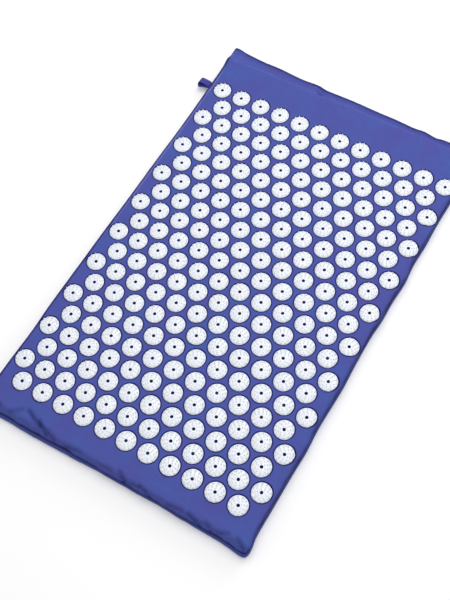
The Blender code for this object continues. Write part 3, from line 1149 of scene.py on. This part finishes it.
# %% [markdown]
# ## Moulded white ABS
# ABS comes out of a polished mould with a soft satin gloss. It is white with a
# slightly blue cast, and lets light into its thin spikes, which evens out
# their shading. Its colour changes a little along the flow of the melt, and
# its weld marks are greyer. The hole's faces take painted shade: the cloth's colour in its shade.

# %% Disc materials
flow_size = mm(50 / 3)
melt_size = mm(10 / 9)
glow_inside = {"Subsurface Weight": 0.35, "Subsurface Radius": (1, 1, 1), "Subsurface Scale": mm(1)}

abs_white, tree, shader, place = new_material("white moulded ABS")
flow = add(tree, "TexNoise", {"Vector": place, "Scale": 1 / flow_size, "Detail": 2.0})
whites = {"Factor": flow, "A": colour("#E5E9F1"), "B": colour("#ECEFF6")}
tint = add(tree, "Mix", whites, data_type="RGBA")
grain = add(tree, "Bump", {"Height": flow, "Strength": 0.1, "Distance": mm(0.05)})
feed(shader, {"Base Color": tint, "Normal": grain, "Roughness": 0.38, **glow_inside})

weld_mark, tree, shader, place = new_material("weld mark in white ABS")
melt = add(tree, "TexNoise", {"Vector": place, "Scale": 1 / melt_size})
greys = {"Factor": melt, "A": colour("#A4A8B8"), "B": colour("#C2C6D4")}
feed(shader, {"Base Color": add(tree, "Mix", greys, data_type="RGBA"), "Roughness": 0.5})

# painted shade for the hole's faces: the cloth's colour in its shade
painted_hole_shade = cotton("cotton under the hole, in its shade", "#1E1F48", "#191A3A", "#191A3A", mm(1.1))

# %% [markdown]
# ## Foam, tapes and thread
# Open-cell foam is a mass of broken bubbles, here drawn with a cell pattern
# about 1.5 mm across. The hook tape is stiff and shiny with rows of hooks, and
# the pile tape is a mat of fine loops. The thread is polyester, a touch
# lighter than the cloth.

# %% Foam, tape and thread materials


def relief_material(name, light, dark, texture, detail, size, depth, roughness):
    """A finish whose relief and two colours come from one texture of a real size."""
    material, tree, shader, place = new_material(name)
    made = add(tree, texture, {"Vector": place, "Scale": 1 / size, "Detail": detail})
    mixed = add(tree, "Mix", {"Factor": made, "A": colour(dark), "B": colour(light)}, data_type="RGBA")
    bump = add(tree, "Bump", {"Height": made, "Strength": 0.6, "Distance": depth})
    feed(shader, {"Base Color": mixed, "Normal": bump, "Roughness": roughness})
    print(name, "has a pattern of", round(1000 * size, 1), "mm")
    return material


cells = ("TexVoronoi", 0.0)
loops = ("TexNoise", 3.0)
foam_cells = relief_material(
    "open-cell polyurethane foam", "#F1E9CF", "#D8CDAA", *cells, mm(1.5), mm(0.4), 0.95
)
hook_nylon = relief_material("nylon hook tape", "#4A4C9A", "#2C2E6C", *cells, mm(1.2), mm(0.6), 0.5)
pile_nylon = relief_material("nylon pile tape", "#5357A6", "#383B84", *loops, mm(1.0), mm(0.5), 0.95)
thread_polyester = relief_material("polyester thread", "#6A70C0", "#565CAE", *loops, mm(0.6), mm(0.1), 0.55)

# %% [markdown]
# ## Dressing the pieces
# A disc has three finishes, told apart by the attribute of each face, and
# every other piece has one.

# %% Dressed pieces
for piece in disc_row_pieces:
    for material in (abs_white, weld_mark, painted_hole_shade):
        piece.data.materials.append(material)
    for face, kind in zip(piece.data.polygons, piece.data.attributes["finish"].data):
        face.material_index = kind.value
for piece, material in (
    (top_cloth, canvas),
    (bottom_cloth, canvas),
    (bottom_hem, canvas),
    (flap_hem, canvas),
    (hanging, ribbon),
    (foam, foam_cells),
    (hook_strip, hook_nylon),
    (pile_strip, pile_nylon),
    (flap_stitches, thread_polyester),
):
    piece.data.materials.append(material)
print(len(bpy.data.materials), "materials")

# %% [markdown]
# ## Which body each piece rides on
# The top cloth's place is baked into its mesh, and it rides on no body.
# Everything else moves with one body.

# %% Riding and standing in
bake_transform(top_cloth)
for piece in [foam, bottom_cloth, bottom_hem, hook_strip] + disc_row_pieces:
    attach(piece, "mat")
for piece in (flap_hem, pile_strip, flap_stitches):
    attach(piece, "flap")
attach(hanging, "loop")

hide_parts("top_panel", "closure_flap")
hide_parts("bottom_panel")
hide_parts("foam_pad")
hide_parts("hook_tape")
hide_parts("loop_tape")
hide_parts("hanging_loop")

print("finer pieces stand in for", len(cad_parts), "plain ones")

# %% [markdown]
# ## Floor
# The mat lies on a seamless floor of paper, nearly white to the camera and
# greyer to the light, so that it throws less light on the mat. To the camera
# it also glows, more with the distance, so that the open floor is white while
# the shadow by the mat stays.

# %% Floor
paper_lit = 0.68
paper_seen = 0.95
glow_fade = {"From Min": 0.7, "From Max": 2.0, "To Min": 0.05, "To Max": 0.6}

below = (0, 0, mm(-0.2))
faces = {"x_subdivisions": 4, "y_subdivisions": 4}
floor = new_piece("studio_floor", bpy.ops.mesh.primitive_grid_add, size=8, location=below, **faces)
settle(floor)
matt = {"Roughness": 1.0, "Specular IOR Level": 0.0, "Emission Color": (1, 1, 1, 1)}
paper, tree, shader, spot = new_material("matt white paper")
rays = add(tree, "LightPath", {}).outputs
seen = add(tree, "Math", {0: rays["Is Camera Ray"], 1: rays["Is Glossy Ray"]}, operation="ADD")
away = add(tree, "VectorMath", {0: spot}, operation="LENGTH")
glow = add(tree, "MapRange", {"Value": away, **glow_fade})
lift = add(tree, "Math", {0: seen, 1: glow}, operation="MULTIPLY")
paint = add(tree, "MapRange", {"Value": seen, "To Min": paper_lit, "To Max": paper_seen})
feed(shader, {"Base Color": paint, "Emission Strength": lift, **matt})
floor.data.materials.append(paper)
print("the floor is", round(floor.dimensions.x, 1), "m wide")

# %% [markdown]
# ## Light
# Two large soft lamps stand for the studio's boxes, one over the far end and
# one over the near end, and a third, lower one behind the mat draws the light
# lines along the ridge and the hem. The world lights the mat at half its
# strength, and is white where it is seen.

# %% Lamps and world


def soft_lamp(name, place, aim, size, power):
    lamp = bpy.data.objects.new(name, bpy.data.lights.new(name, "AREA"))
    lamp.data.shape = "SQUARE"
    lamp.data.size = size
    lamp.data.energy = power
    lamp.location = place
    lamp.rotation_euler = (Vector(aim) - Vector(place)).to_track_quat("-Z", "Y").to_euler()
    bpy.context.scene.collection.objects.link(lamp)


soft_lamp("key_box", (-0.05, 0.7, 1.8), (0, 0, 0), 1.4, 16.3)
soft_lamp("rim_box", (0.35, 1.75, 0.85), (0, 0.2, 0), 0.9, 9)
soft_lamp("fill_box", (0.5, -0.6, 2.1), (0, 0, 0), 1.5, 10.9)
print(len(bpy.data.lights), "lamps")

world = bpy.data.worlds.new("studio")
bpy.context.scene.world = world
world.use_nodes = True
tree = world.node_tree
rays = add(tree, "LightPath", {}).outputs
seen = add(tree, "Math", {0: rays["Is Camera Ray"], 1: rays["Is Glossy Ray"]}, operation="MAXIMUM")
level = add(tree, "MapRange", {"Value": seen, "To Min": 0.48, "To Max": 1.0})
feed(tree.nodes["Background"], {"Color": (1, 1, 1, 1), "Strength": level})

bpy.context.scene.view_settings.view_transform = "Standard"
